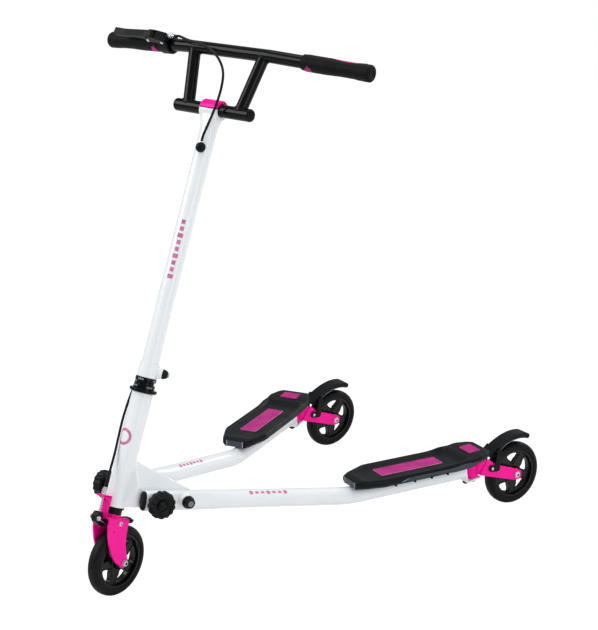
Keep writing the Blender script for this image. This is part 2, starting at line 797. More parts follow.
def make_cable_tab():
    """Bent strip on the crown that stops the cable, with its adjuster, return spring and wire."""
    back = -(HEAD_TUBE_RADIUS + 0.0022)
    front = back - TAB_PLATE
    shelf = TAB_TOP - TAB_PLATE
    outline = [(back, CROWN_TOP + GAP), (back, TAB_TOP), (TAB_REACH, TAB_TOP), (TAB_REACH, shelf),
               (front, shelf), (front, CROWN_TOP + GAP)]
    tab = add("cable_tab", prism("cable_tab", outline, -TAB_HALF_WIDTH, TAB_HALF_WIDTH), "steering", STEERING,
              pink_paint())
    stem = 0.0019
    wire_line = STEERING @ shift(0, WIRE_SETBACK, 0)
    cut(tab, rod("tab_hole", stem + GAP, shelf - 0.005, TAB_TOP + 0.005, 12), "steering", wire_line)
    foot = TAB_TOP + GAP
    top = foot + ADJUSTER_LENGTH
    barrel = [(0.0, shelf + GAP), (stem, shelf + GAP), (stem, foot), (ADJUSTER_RADIUS, foot),
              (ADJUSTER_RADIUS, foot + 0.006), (ADJUSTER_RADIUS - 0.001, foot + 0.0068),
              (ADJUSTER_RADIUS - 0.001, top), (0.0, top)]
    add("cable_adjuster", revolve("cable_adjuster", barrel, 12), "steering", wire_line, steel())
    seat = spring_seat() + 2 * GAP
    length = shelf - SPRING_WIRE_RADIUS * 2 - GAP - seat
    coil = []
    count = SPRING_TURNS * POINTS_PER_TURN
    for step in range(count + 1):
        angle = 2.0 * math.pi * step / POINTS_PER_TURN
        height = seat + SPRING_WIRE_RADIUS + length * step / count
        coil.append((SPRING_RADIUS * math.cos(angle), SPRING_RADIUS * math.sin(angle), height))
    cord("brake_spring", coil, SPRING_WIRE_RADIUS, "steering", wire_line, steel(), 1)
    print("brake_spring least gap between curls, mm:",
          round((length / SPRING_TURNS - 2 * SPRING_WIRE_RADIUS) * 1000, 2))
    add("brake_wire", rod("brake_wire", WIRE_RADIUS, spring_seat() + GAP, shelf, 8), "steering", wire_line,
        steel())


def spring_seat():
    """Height of the brake arm's nose, where the return spring stands."""
    return BRAKE_PIVOT_HEIGHT + BRAKE_NOSE_RISE


def make_brake_arm():
    """Two-ended arm on the pivot bolt: the wire lifts its nose and its shoe meets the tyre."""
    pivot = STEERING @ shift(0, BRAKE_PIVOT_SETBACK, BRAKE_PIVOT_HEIGHT)
    body("brake_arm_axis", pivot @ turn("Y", -math.pi / 2), "steering")
    nose = spring_seat() - BRAKE_PIVOT_HEIGHT
    outline = [
        (-0.0485, 0.0080), (-0.0450, nose), (-0.0340, nose), (-0.0305, 0.0000), (-0.0140, 0.0006),
        (-0.0040, 0.0040), (0.0060, 0.0042), (0.0180, 0.0028), (0.0280, 0.0060), (0.0420, 0.0080),
        (0.0440, 0.0048), (0.0405, -0.0004), (0.0300, -0.0017), (0.0160, -0.0042), (0.0040, -0.0057),
        (-0.0060, -0.0062), (-0.0180, -0.0062), (-0.0300, -0.0117), (-0.0380, -0.0102), (-0.0465, -0.0030),
    ]
    arm = add("front_brake_arm",
              prism("front_brake_arm", outline, -BRAKE_ARM_HALF_WIDTH, BRAKE_ARM_HALF_WIDTH),
              "brake_arm_axis", pivot, black_paint())
    shoe = [(0.0200, 0.0026), (0.0420, 0.0068), (0.0440, 0.0044), (0.0405, -0.0004), (0.0300, -0.0017),
            (0.0200, -0.0030)]
    join(arm, prism("brake_shoe", shoe, -BRAKE_SHOE_HALF_WIDTH, BRAKE_SHOE_HALF_WIDTH), "brake_arm_axis", pivot)
    across = across_frame(pivot, 0, 0)
    reach = BRAKE_ARM_HALF_WIDTH + 0.008
    cut(arm, rod("brake_arm_bore", BRAKE_PIVOT_RADIUS + GAP, -reach, reach, 12), "brake_arm_axis", across)
    anchor = across_frame(pivot, ANCHOR_SETBACK - BRAKE_PIVOT_SETBACK, ANCHOR_RISE)
    cut(arm, rod("anchor_bore", ANCHOR_RADIUS + GAP, -reach, reach, 12), "brake_arm_axis", anchor)
    outside = BRAKE_ARM_HALF_WIDTH + GAP
    anchor_bolt = bolt("cable_anchor_bolt", ANCHOR_RADIUS, -outside, outside, ANCHOR_HEAD_RADIUS,
                       ANCHOR_HEAD_LENGTH)
    add("cable_anchor_bolt", anchor_bolt, "brake_arm_axis", anchor, steel())


def make_front_wheel():
    place = across_frame(STEERING, AXLE_OFFSET, 0.0)
    body("front_wheel_axis", place, "steering")
    wheel("front", "front_wheel_axis", place)


def collar_pin_frame():
    """Frame with Z pointing out along the lock pin of the post's collar."""
    out = STEERING.to_3x3() @ Vector((math.cos(COLLAR_PIN_ANGLE), math.sin(COLLAR_PIN_ANGLE), 0.0))
    return frame_at(STEERING @ Vector((0, 0, COLLAR_PIN_Z)), out, STEERING.to_3x3() @ Vector((0, 0, 1)))


def collar_pin_hole(name, outer):
    return rod(name, PIN_RADIUS + GAP, 0.0, outer + 0.012, 12)


def pull_pin(name, on, place, seat, tip, cap_radius, cap_length):
    """A domed pull cap with its pin, pointing out along Z. The pin reaches in to tip."""
    profile = [
        (0.0, tip), (PIN_RADIUS - 0.0008, tip), (PIN_RADIUS, tip + 0.0008), (PIN_RADIUS, seat + GAP),
        (cap_radius * 0.92, seat + GAP), (cap_radius, seat + 0.0015), (cap_radius, seat + cap_length * 0.55),
        (cap_radius * 0.8, seat + cap_length * 0.85), (cap_radius * 0.45, seat + cap_length),
        (0.0, seat + cap_length),
    ]
    return add(name, revolve(name, profile, 16), on, place, black_plastic())


def bar_heading(sign):
    """Outward direction of the handlebar past its bends, in the steering frame."""
    level = math.cos(BAR_DROOP)
    return Vector((math.cos(BAR_SWEEP) * level * sign, math.sin(BAR_SWEEP) * level, -math.sin(BAR_DROOP)))


def bar_path(half_width):
    """Right-to-left centre line of the handlebar in the steering frame, swept back past the risers."""
    bend_at = RISER_HEAD_HALF_SPACING + 0.012
    corner = Vector((bend_at, BAR_SETBACK, BAR_HEIGHT))
    end = corner + bar_heading(1.0) * (half_width - bend_at)
    middle = Vector((0.0, BAR_SETBACK, BAR_HEIGHT))
    half = [middle, *filleted(corner, middle, end, BAR_BEND_RADIUS, 2), end]
    mirrored = [Vector((-p.x, p.y, p.z)) for p in half[:0:-1]]
    return mirrored + half


def grip_frame(side):
    """Frame on the swept part of the bar: Z outwards along it, X forwards and level."""
    sign = SIDES[side]
    end = bar_path(BAR_HALF_WIDTH)[-1]
    origin = Vector((end.x * sign, end.y, end.z))
    return STEERING @ frame_at(origin, bar_heading(sign), (0, -1, 0))


def make_t_bar():
    """The removable upper steering: post, collar, crossbar, risers, bar and grips."""
    body("t_bar", STEERING, "steering")
    bore = STEERER_RADIUS + GAP * 1.5
    top = CROSSBAR_HEIGHT - 0.005
    post = add("steering_post", pipe("steering_post", POST_RADIUS, bore, POST_BOTTOM, top, 24), "t_bar",
               STEERING, white_paint())
    saddle_place = STEERING @ shift(0, 0, CROSSBAR_HEIGHT)
    join(post, clamp_half("bar_saddle", 180, 360, -GAP), "t_bar", saddle_place)
    seat = rod("crossbar_seat", BAR_RADIUS + GAP, -CLAMP_LENGTH, CLAMP_LENGTH, 24)
    cut(post, seat, "t_bar", across_frame(STEERING, 0, CROSSBAR_HEIGHT))
    cut(post, collar_pin_hole("post_pin_hole", POST_RADIUS), "t_bar", collar_pin_frame())
    add("bar_clamp_cap", clamp_half("bar_clamp_cap", 0, 180, GAP), "t_bar", saddle_place, pink_paint())

    step = 0.0012
    collar_bore = POST_RADIUS + GAP
    collar_top = POST_BOTTOM + COLLAR_LENGTH
    ring = [(collar_bore, POST_BOTTOM), (COLLAR_RADIUS - step, POST_BOTTOM), (COLLAR_RADIUS, POST_BOTTOM + step),
            (COLLAR_RADIUS, collar_top - step), (COLLAR_RADIUS - step, collar_top), (collar_bore, collar_top)]
    collar = add("post_collar", revolve("post_collar", ring, 24, hollow=True), "t_bar", STEERING, white_paint())
    boss = rod("collar_boss", COLLAR_BOSS_RADIUS, collar_bore + 0.0008, COLLAR_BOSS_REACH, 16)
    join(collar, boss, "t_bar", collar_pin_frame())
    cut(collar, pipe_core("collar_core", collar_bore), "t_bar", STEERING)
    cut(collar, collar_pin_hole("collar_pin_hole", COLLAR_BOSS_REACH), "t_bar", collar_pin_frame())

    make_crossbar()
    path = bar_path(BAR_HALF_WIDTH)
    ups = [Vector((0, 0, 1))] * len(path)
    add("handlebar_tube",
        swept_tube("handlebar_tube", path, ups, lambda i: (BAR_RADIUS, BAR_RADIUS),
                   lambda i: (BAR_RADIUS - BAR_WALL, BAR_RADIUS - BAR_WALL)),
        "t_bar", STEERING, black_paint())
    for side, sign in SIDES.items():
        make_riser(side, sign)
        make_grip(side)


def pipe_core(name, radius):
    return rod(name, radius, POST_BOTTOM - 0.002, POST_BOTTOM + COLLAR_LENGTH + 0.002, 24)


def clamp_half(name, start, end, lift):
    """Half of the crossbar clamp, as a half ring along X round the crossbar."""
    outer = arc((0, lift), CLAMP_RADIUS, start, end, 10)
    inner = arc((0, lift), BAR_RADIUS + GAP, end, start, 10)
    return prism(name, outer + inner, -CLAMP_LENGTH / 2, CLAMP_LENGTH / 2)


def make_crossbar():
    """Closed tube with rounded ends, and a vent hole under each riser as welded tubes have."""
    half = CROSSBAR_HALF_WIDTH
    inner = BAR_RADIUS - BAR_WALL
    dome = 0.0035
    shell = [(0.0, -half), (BAR_RADIUS * 0.75, -half), (BAR_RADIUS, -half + dome), (BAR_RADIUS, half - dome),
             (BAR_RADIUS * 0.75, half), (0.0, half)]
    across = across_frame(STEERING, 0, CROSSBAR_HEIGHT)
    crossbar = add("crossbar", revolve("crossbar", shell, ROUND), "t_bar", across, black_paint())
    cut(crossbar, rod("crossbar_core", inner, -half + 0.003, half - 0.003, 12), "t_bar", across)
    for sign in SIDES.values():
        vent = rod("crossbar_vent", 0.003, 0.0, BAR_RADIUS + 0.002, 8)
        cut(crossbar, vent, "t_bar", riser_frame(sign)[0])


def riser_frame(sign):
    """Frame at a riser's foot on the crossbar's axis, Z along the riser, and the riser's length."""
    foot = Vector((sign * RISER_FOOT_HALF_SPACING, 0.0, CROSSBAR_HEIGHT))
    head = Vector((sign * RISER_HEAD_HALF_SPACING, BAR_SETBACK, BAR_HEIGHT))
    return STEERING @ frame_at(foot, head - foot, (1, 0, 0)), (head - foot).length


def make_riser(side, sign):
    """Riser tube, mitred over the crossbar below and the bar above."""
    place, length = riser_frame(sign)
    name = side + "_riser"
    riser = add(name, pipe(name, RISER_RADIUS, RISER_RADIUS - BAR_WALL, 0.001, length - 0.001), "t_bar",
                place, black_paint())
    reach = CROSSBAR_HALF_WIDTH + 0.02
    seat = rod(name + "_seat", BAR_RADIUS + GAP, -reach, reach, 24)
    cut(riser, seat, "t_bar", across_frame(STEERING, 0, CROSSBAR_HEIGHT))
    head = rod(name + "_head", BAR_RADIUS + GAP, -reach, reach, 24)
    cut(riser, head, "t_bar", across_frame(STEERING, BAR_SETBACK, BAR_HEIGHT))


def make_grip(side):
    """Rubber sleeve with a flange inboard and a closed round end."""
    bore = BAR_RADIUS + GAP
    inboard = GRIP_END_WALL - GRIP_LENGTH[side]
    end = GRIP_END_WALL
    profile = [
        (bore, inboard), (GRIP_FLANGE_RADIUS, inboard), (GRIP_FLANGE_RADIUS, inboard + 0.005),
        (GRIP_RADIUS, inboard + 0.008), (GRIP_RADIUS, end - 0.088), (GRIP_WAIST_RADIUS, end - 0.058),
        (GRIP_WAIST_RADIUS, end - 0.033), (GRIP_END_RADIUS, end - 0.016),
        (GRIP_END_RADIUS, end - 0.006), (GRIP_END_RADIUS * 0.8, end - 0.0015), (0.0, end),
    ]
    inner = [(0.0, GAP), (bore, GAP), (bore, inboard)]
    name = side + "_grip"
    solid = revolve(name, inner[:2] + profile, ROUND)
    add(name, solid, "t_bar", grip_frame(side), grip_rubber())


def lever_frame():
    """Frame on the right-hand part of the bar: X outwards along it, Y towards the lever, Z across."""
    grip = grip_frame("right")
    out = grip.to_3x3() @ Vector((0, 0, 1))
    level = grip.to_3x3() @ Vector((1, 0, 0))
    up = STEERING.to_3x3() @ Vector((0, 0, 1))
    reach = level * math.cos(LEVER_TILT) + up * math.sin(LEVER_TILT)
    origin = grip.translation - out * (BAR_HALF_WIDTH / math.cos(BAR_SWEEP))
    return frame_at(origin, out.cross(reach), out)


def slab(name, outline, low, high):
    """Extrude an outline of (x, y) points along Z."""
    count = len(outline)
    points = [(x, y, low) for x, y in outline] + [(x, y, high) for x, y in outline]
    faces = [tuple(range(count)), tuple(range(2 * count - 1, count - 1, -1))]
    for step in range(count):
        after = (step + 1) % count
        faces.append((step, after, after + count, step + count))
    return mesh_from(name, points, faces)


def make_lever():
    """Bracket on the bar, the barrel that the cable leaves, and the lever itself."""
    place = lever_frame()
    inner = LEVER_BRACKET_INNER
    outer = inner + LEVER_BRACKET_LENGTH
    along = place @ turn("Y", math.pi / 2)
    band = pipe("lever_bracket", LEVER_BRACKET_RADIUS, BAR_RADIUS + GAP, inner, outer, ROUND)
    bracket = add("lever_bracket", band, "t_bar", along, black_plastic())
    perch = [(inner, 0.0125), (outer, 0.0125), (outer, 0.0175), (LEVER_PIVOT_OUT + 0.008, 0.0215),
             (LEVER_PIVOT_OUT + 0.009, 0.0300), (LEVER_PIVOT_OUT, 0.0345), (outer, 0.0330), (inner, 0.0250)]
    thin = 0.0022
    height = LEVER_BLADE_HALF_HEIGHT + thin
    join(bracket, slab("lever_perch", perch, -height, height), "t_bar", place)
    slot_from = LEVER_PIVOT_OUT - 0.016
    half = LEVER_BLADE_HALF_HEIGHT + GAP
    past = LEVER_TIP_OUT
    above = LEVER_PIVOT_REACH * 2
    opening = [(slot_from, 0.0185), (past, 0.0150), (past, above), (slot_from, above)]
    slot = slab("lever_slot", opening, -half, half)
    cut(bracket, slot, "t_bar", place)
    cut(bracket, rod("bracket_core", BAR_RADIUS + GAP, inner - 0.01, outer + 0.05, ROUND), "t_bar", along)
    pivot = place @ shift(LEVER_PIVOT_OUT, LEVER_PIVOT_REACH, 0)
    join(bracket, rod("lever_pin", LEVER_PIVOT_RADIUS, -height, height, 12), "t_bar", pivot)

    barrel_place = place @ shift(0, BARREL_REACH, BARREL_RISE) @ turn("Y", math.pi / 2)
    seat = inner - GAP
    tip = seat - BARREL_LENGTH
    barrel = [(0.0, tip), (0.0030, tip), (0.0030, seat - 0.008), (0.0046, seat - 0.0075), (0.0046, seat),
              (0.0, seat)]
    add("lever_adjuster", revolve("lever_adjuster", barrel, 12), "t_bar", barrel_place, steel())

    body("lever_axis", pivot, "t_bar")
    reach = LEVER_BLADE_REACH - LEVER_PIVOT_REACH
    tip = LEVER_TIP_OUT - LEVER_PIVOT_OUT
    thick = LEVER_BLADE_THICKNESS / 2
    outline = [(-0.0115, -0.0040), (-0.0060, -0.0058), (0.0040, -0.0058), (0.0140, reach - thick - 0.0040),
               (0.0280, reach - thick), (tip - 0.022, reach - thick - 0.0010), (tip - 0.006, reach - thick),
               (tip, reach + thick + 0.0010), (tip - 0.004, reach + thick + 0.0026),
               (tip - 0.024, reach + thick - 0.0010), (0.0280, reach + thick),
               (0.0060, 0.0090), (-0.0060, 0.0075), (-0.0115, 0.0040)]
    lever = add("brake_lever", slab("brake_lever", outline, -LEVER_BLADE_HALF_HEIGHT, LEVER_BLADE_HALF_HEIGHT),
                "lever_axis", pivot, black_plastic())
    cut(lever, rod("lever_bore", LEVER_PIVOT_RADIUS + GAP, -0.02, 0.02, 12), "lever_axis", pivot)


def barrel_exit_point():
    """Where the cable leaves the barrel on the lever's bracket."""
    out = LEVER_BRACKET_INNER - BARREL_LENGTH - 2 * GAP
    return lever_frame() @ Vector((out, BARREL_REACH, BARREL_RISE))


def make_cables():
    """Upper run from lever to post, lower run from post to fork tab, with a grommet at each hole."""
    upper_end = Vector((0.0066, -0.0158, CROSSBAR_HEIGHT - 0.0685))
    ball = frame_at(upper_end, (upper_end.x, upper_end.y, 0), (0, 0, 1))
    grommet = [(0.0, -0.0022), (0.0060, -0.0022), (0.0084, 0.0002), (0.0090, 0.0030), (0.0078, 0.0066),
               (0.0045, 0.0088), (0.0, 0.0092)]
    boot = add("upper_cable_grommet", revolve("upper_cable_grommet", grommet, 16), "t_bar", STEERING @ ball,
               black_plastic())
    seat_from = upper_end.z - 0.05
    cut(boot, rod("boot_seat", POST_RADIUS + GAP, seat_from, seat_from + 0.1, 24), "t_bar", STEERING)
    barrel_exit = STEERING.inverted() @ (barrel_exit_point())
    lead = STEERING.inverted().to_3x3() @ (lever_frame().to_3x3() @ Vector((-1, 0, 0)))
    bar = BAR_HEIGHT
    cross = CROSSBAR_HEIGHT
    knots = [
        barrel_exit, barrel_exit + lead * 0.012, (-0.0780, -0.0185, bar + 0.0057),
        (-0.0470, -0.0195, bar + 0.0012), (-0.0210, -0.0200, bar - 0.0063), (0.0020, -0.0195, bar - 0.0218),
        (0.0165, -0.0195, bar - 0.0418), (0.0225, -0.0215, cross + 0.0355), (0.0225, -0.0235, cross + 0.0075),
        (0.0185, -0.0245, cross - 0.0205), (0.0125, -0.0245, cross - 0.0465),
        upper_end + Vector((0.0022, -0.0052, 0.0105)),
    ]
    route, length = smooth_route(knots, 0.009)
    cord("upper_brake_cable", route, CABLE_RADIUS, "t_bar", STEERING, cable_cover(), 2)
    print("upper cable length, m:", round(length, 4))

    exit_angle = math.radians(232)
    exit_out = Vector((math.sin(exit_angle), -math.cos(exit_angle), 0))
    exit_height = POST_BOTTOM + COLLAR_LENGTH + 0.011
    hole = exit_out * POST_RADIUS + Vector((0, 0, exit_height))
    lower_place = STEERING @ frame_at(hole, exit_out, (0, 0, 1))
    bush = [(0.0, -0.002), (0.0045, -0.002), (0.0045, 0.0015), (0.0036, 0.0040), (0.0, 0.0040)]
    sleeve = add("lower_cable_grommet", revolve("lower_cable_grommet", bush, 12), "t_bar", lower_place,
                 black_plastic())
    cut(sleeve, rod("bush_seat", POST_RADIUS + GAP, POST_BOTTOM, POST_BOTTOM + 0.1, 24), "t_bar", STEERING)
    start = exit_out * (POST_RADIUS + 0.0048) + Vector((0, 0, exit_height))
    adjuster_top = TAB_TOP + ADJUSTER_LENGTH + 2 * GAP
    knots = [
        start, start + exit_out * 0.0085, (-0.0285, 0.0140, 0.3400), (-0.0281, 0.0118, 0.3180),
        (-0.0271, 0.0060, 0.2960), (-0.0236, -0.0030, 0.2680), (-0.0186, -0.0114, 0.2400),
        (-0.0130, -0.0176, 0.2120), (-0.0078, -0.0228, 0.1850), (-0.0035, -0.0285, 0.1600),
        (0.0, WIRE_SETBACK, adjuster_top + 0.010), (0.0, WIRE_SETBACK, adjuster_top),
    ]
    route, length = smooth_route(knots, 0.009)
    cord("lower_brake_cable", route, CABLE_RADIUS, "steering", STEERING, cable_cover(), 2)
    print("lower cable length, m:", round(length, 4))


def kingpin_frame(side):
    """Frame at the kingpin's foot, level: X across to the left, Y back along the rear run."""
    sign = SIDES[side]
    foot = Vector((KINGPIN_FOOT.x * sign, KINGPIN_FOOT.y, KINGPIN_FOOT.z))
    return Matrix.Translation(foot) @ turn("Z", -REAR_HEADING * sign)


def kingpin_axis_frame(side):
    """The same foot, with Z up the leaning kingpin."""
    return kingpin_frame(side) @ turn("X", KINGPIN_LEAN)


def arm_path(side):
    """Centre line of the arm's tube: down from the pivot, round the bend, level to the kingpin."""
    place = arm_frame(side)
    front = place @ Vector((0, -ARM_FRONT_REACH, 0))
    run = place.to_3x3() @ Vector((0, 1, 0))
    drop = (ARM_PIVOT.z - REAR_RUN_HEIGHT) / math.sin(ARM_DROP)
    corner = place.translation + run * drop
    king = kingpin_frame(side).translation
    end = Vector((king.x, king.y, REAR_RUN_HEIGHT))
    marks = [0.0, ARM_FLAT_LENGTH * 0.5, ARM_FLAT_LENGTH, (ARM_FLAT_LENGTH + ARM_ROUND_FROM) / 2, ARM_ROUND_FROM]
    path = [front]
    path += [place @ Vector((0, setback, 0)) for setback in marks[1:]]
    path += filleted(corner, front, end, ARM_BEND_RADIUS, 4)
    path.append(end)
    return path


def arm_section(side, inset):
    """Half width and half height of the tube at each point of its path."""
    pivot = arm_frame(side).translation
    sizes = []
    for point in arm_path(side):
        share = ((point - pivot).length - ARM_FLAT_LENGTH) / (ARM_ROUND_FROM - ARM_FLAT_LENGTH)
        share = min(max(share, 0.0), 1.0)
        width = ARM_HALF_THICKNESS + (ARM_TUBE_RADIUS - ARM_HALF_THICKNESS) * share
        height = ARM_HALF_HEIGHT + (ARM_TUBE_RADIUS - ARM_HALF_HEIGHT) * share
        sizes.append((width - inset, height - inset))
    return sizes


def make_arm(side):
    """One arm with its end cap, deck, pad, caster bracket and kingpin."""
    sign = SIDES[side]
    place = arm_frame(side)
    on = side + "_arm_axis"
    body(on, place @ turn("Y", math.pi / 2), "frame")
    path = arm_path(side)
    ups = [Vector((0, 0, 1))] * len(path)
    outer = arm_section(side, 0.0)
    inner = arm_section(side, ARM_TUBE_WALL)
    name = side + "_arm_tube"
    world = Matrix.Identity(4)
    king = kingpin_axis_frame(side)
    rear_end = (king @ Vector((0, BRACKET_FRONT - GAP, 0)), king.to_3x3() @ Vector((0, 1, 0)))
    tube = swept_tube(name, path, ups, lambda i: outer[i], lambda i: inner[i], rear_end)
    arm = add(name, tube, on, world, white_paint())
    pin_place = place @ shift(0, ARM_PIN_SETBACK, ARM_PIN_RISE) @ turn("Y", sign * math.pi / 2)
    pivot_place = place @ turn("Y", sign * math.pi / 2)
    inside = ARM_HALF_THICKNESS - ARM_TUBE_WALL * 0.5
    join(arm, rod(name + "_boss", ARM_BOSS_RADIUS, inside * 0.9, ARM_BOSS_REACH, 16), on, pin_place)
    # the bores are turned a little so that their edges don't fall on the tube's
    off_edges = turn("Z", BORE_TURN)
    reach = 2.0 * ARM_HALF_THICKNESS
    cut(arm, rod(name + "_pin_bore", PIN_RADIUS + GAP, -reach, reach, 12), on, pin_place @ off_edges)
    cut(arm, rod(name + "_bolt_bore", KNOB_BOLT_RADIUS + GAP, -reach, reach, 12), on,
        pivot_place @ off_edges)
    make_end_cap(side, on, place)
    make_bracket(side, on, king)
    make_deck(side, on)
    return pin_place, pivot_place


def make_end_cap(side, on, place):
    """Black plug in the arm's front end, domed outside."""
    front = -ARM_FRONT_REACH
    stations = [(front + 0.008, -ARM_TUBE_WALL - GAP), (front - GAP, -ARM_TUBE_WALL - GAP), (front - GAP, 0.0),
                (front - END_CAP_LENGTH * 0.45, -0.0006), (front - END_CAP_LENGTH * 0.8, -0.0030),
                (front - END_CAP_LENGTH, -0.0062)]
    sections = []
    for setback, grow in stations:
        loop = []
        for step in range(ROUND):
            angle = 2.0 * math.pi * step / ROUND
            loop.append((math.cos(angle) * (ARM_HALF_THICKNESS + grow), setback,
                         math.sin(angle) * (ARM_HALF_HEIGHT + grow)))
        sections.append(loop)
    name = side + "_arm_end_cap"
    add(name, loft(name, sections), on, place, black_plastic())


def pivot_tube_span():
    """Lower and upper end of the yoke's tube along the kingpin, between the bracket's plates."""
    low = KINGPIN_RISE + KINGPIN_CAP_LENGTH + BRACKET_PLATE + 2 * GAP
    return low, low + PIVOT_TUBE_LENGTH


def make_bracket(side, on, king):
    """C-shaped bracket on the arm's end, with the kingpin bolt through both of its plates."""
    low = KINGPIN_RISE + KINGPIN_CAP_LENGTH + GAP
    high = pivot_tube_span()[1] + GAP + BRACKET_PLATE
    web = BRACKET_FRONT + BRACKET_PLATE
    outline = [
        (BRACKET_FRONT, low), (BRACKET_REAR, low), (BRACKET_REAR, low + BRACKET_PLATE),
        (web, low + BRACKET_PLATE), (web, high - BRACKET_PLATE), (BRACKET_REAR, high - BRACKET_PLATE),
        (BRACKET_REAR, high), (BRACKET_FRONT, high),
    ]
    name = side + "_caster_bracket"
    bracket = add(name, prism(name, outline, -BRACKET_HALF_WIDTH, BRACKET_HALF_WIDTH), on, king, white_paint(),
                  bevel=0.001)
    cut(bracket, rod(name + "_bore", KINGPIN_RADIUS + GAP, -0.01, 0.08, 12), on, king)
    base = KINGPIN_RISE
    dome = base + KINGPIN_CAP_LENGTH
    profile = [
        (0.0, base), (KINGPIN_CAP_RADIUS * 0.7, base), (KINGPIN_CAP_RADIUS, base + KINGPIN_CAP_LENGTH * 0.35),
        (KINGPIN_CAP_RADIUS, dome), (KINGPIN_RADIUS, dome), (KINGPIN_RADIUS, high + GAP),
        (KINGPIN_HEAD_RADIUS, high + GAP), (KINGPIN_HEAD_RADIUS, high + 0.0040),
        (KINGPIN_HEAD_RADIUS * 0.7, high + 0.0048), (0.0, high + 0.0048),
    ]
    add(side + "_kingpin", revolve(side + "_kingpin", profile, 16), on, king, steel())


def deck_sections():
    """Cross-sections of the deck from nose to tail, as (along, half width, top, bottom)."""
    rest = REAR_RUN_HEIGHT + ARM_TUBE_RADIUS + GAP + DECK_SKIRT_LIFT
    wide = DECK_HALF_WIDTH
    return [
        (DECK_FRONT, DECK_NOSE_HALF_WIDTH, DECK_TOP - 0.0045, rest),
        (DECK_FRONT + 0.010, DECK_NOSE_HALF_WIDTH + 0.006, DECK_TOP - 0.0020, rest),
        (DECK_FRONT + DECK_NOSE_LENGTH, wide, DECK_TOP, rest + 0.0020),
        (DECK_REAR - 0.099, wide, DECK_TOP, rest + 0.0025),
        (DECK_REAR - 0.085, wide, DECK_TOP + 0.0012, rest + 0.0025),
        (DECK_REAR - DECK_RAMP_LENGTH, wide, DECK_TOP + 0.0040, rest + 0.0030),
        (DECK_REAR - 0.048, wide, DECK_TAIL_TOP - 0.0035, rest + 0.0045),
        (DECK_REAR - 0.034, wide, DECK_TAIL_TOP - 0.0010, rest + 0.0095),
        (DECK_REAR - 0.010, DECK_TAIL_HALF_WIDTH + 0.008, DECK_TAIL_TOP + 0.0005, rest + 0.0112),
        (DECK_REAR, DECK_TAIL_HALF_WIDTH, DECK_TAIL_TOP, rest + 0.0140),
    ]


def deck_pockets(name, middle, low, high):
    """Two rows of hollows under the deck, with a rib between neighbours and the spine between rows."""
    boxes = []
    pitch = (high - low) / DECK_POCKETS
    outer = DECK_HALF_WIDTH - DECK_LOWER_EDGE - DECK_SKIN
    for row in ((-outer, middle - DECK_SPINE_HALF_WIDTH), (middle + DECK_SPINE_HALF_WIDTH, outer)):
        for step in range(DECK_POCKETS):
            start = low + step * pitch + DECK_SKIN / 2
            boxes.append((row, (start, start + pitch - DECK_SKIN), (0.0, DECK_TOP - DECK_SKIN)))
    return box_set(name + "_pockets", boxes)


def box_set(name, boxes):
    """Several separate boxes in one mesh, each as its three spans."""
    points = []
    faces = []
    for x, y, z in boxes:
        base = len(points)
        points += [(x[i], y[j], z[k]) for i in (0, 1) for j in (0, 1) for k in (0, 1)]
        for face in ((0, 1, 3, 2), (4, 6, 7, 5), (0, 4, 5, 1), (2, 3, 7, 6), (0, 2, 6, 4), (1, 5, 7, 3)):
            faces.append(tuple(base + corner for corner in face))
    return mesh_from(name, points, faces)


def deck_frame(side):
    """Level frame on the ground under the kingpin, moved out to the deck's centre line."""
    place = kingpin_frame(side)
    return place @ shift(DECK_OFFSET * SIDES[side], 0, -KINGPIN_FOOT.z)


def make_deck(side, on):
    """Footboard with chamfered sides and a raised tail, and the grip pad on it."""
    place = deck_frame(side)
    sections = []
    for along, half, top, bottom in deck_sections():
        chamfer = DECK_CHAMFER
        low = half - DECK_LOWER_EDGE
        sections.append([
            (-low, along, bottom), (low, along, bottom), (half, along, bottom + DECK_LOWER_EDGE),
            (half, along, top - chamfer), (half - chamfer, along, top), (-half + chamfer, along, top),
            (-half, along, top - chamfer), (-half, along, bottom + DECK_LOWER_EDGE),
        ])
    name = side + "_deck"
    deck = add(name, loft(name, sections), on, place, deck_plastic())
    rest = REAR_RUN_HEIGHT + ARM_TUBE_RADIUS + GAP
    low = DECK_FRONT + DECK_NOSE_LENGTH
    high = DECK_REAR - DECK_RAMP_LENGTH
    spine = [(low, rest), (high, rest), (high, DECK_TOP - 0.006), (low, DECK_TOP - 0.006)]
    middle = -DECK_OFFSET * SIDES[side]
    half = DECK_SPINE_HALF_WIDTH
    join(deck, prism(name + "_spine", spine, middle - half, middle + half), on, place)
    cut(deck, deck_pockets(name, middle, low, high), on, place)
    base = DECK_TOP + GAP
    low = PAD_CENTRE - PAD_LENGTH / 2
    high = PAD_CENTRE + PAD_LENGTH / 2
    outline = [(low, base), (high, base), (high, base + PAD_THICKNESS), (low, base + PAD_THICKNESS)]
    name = side + "_foot_pad"
    add(name, prism(name, outline, -PAD_HALF_WIDTH, PAD_HALF_WIDTH), on, place, pad_rubber())


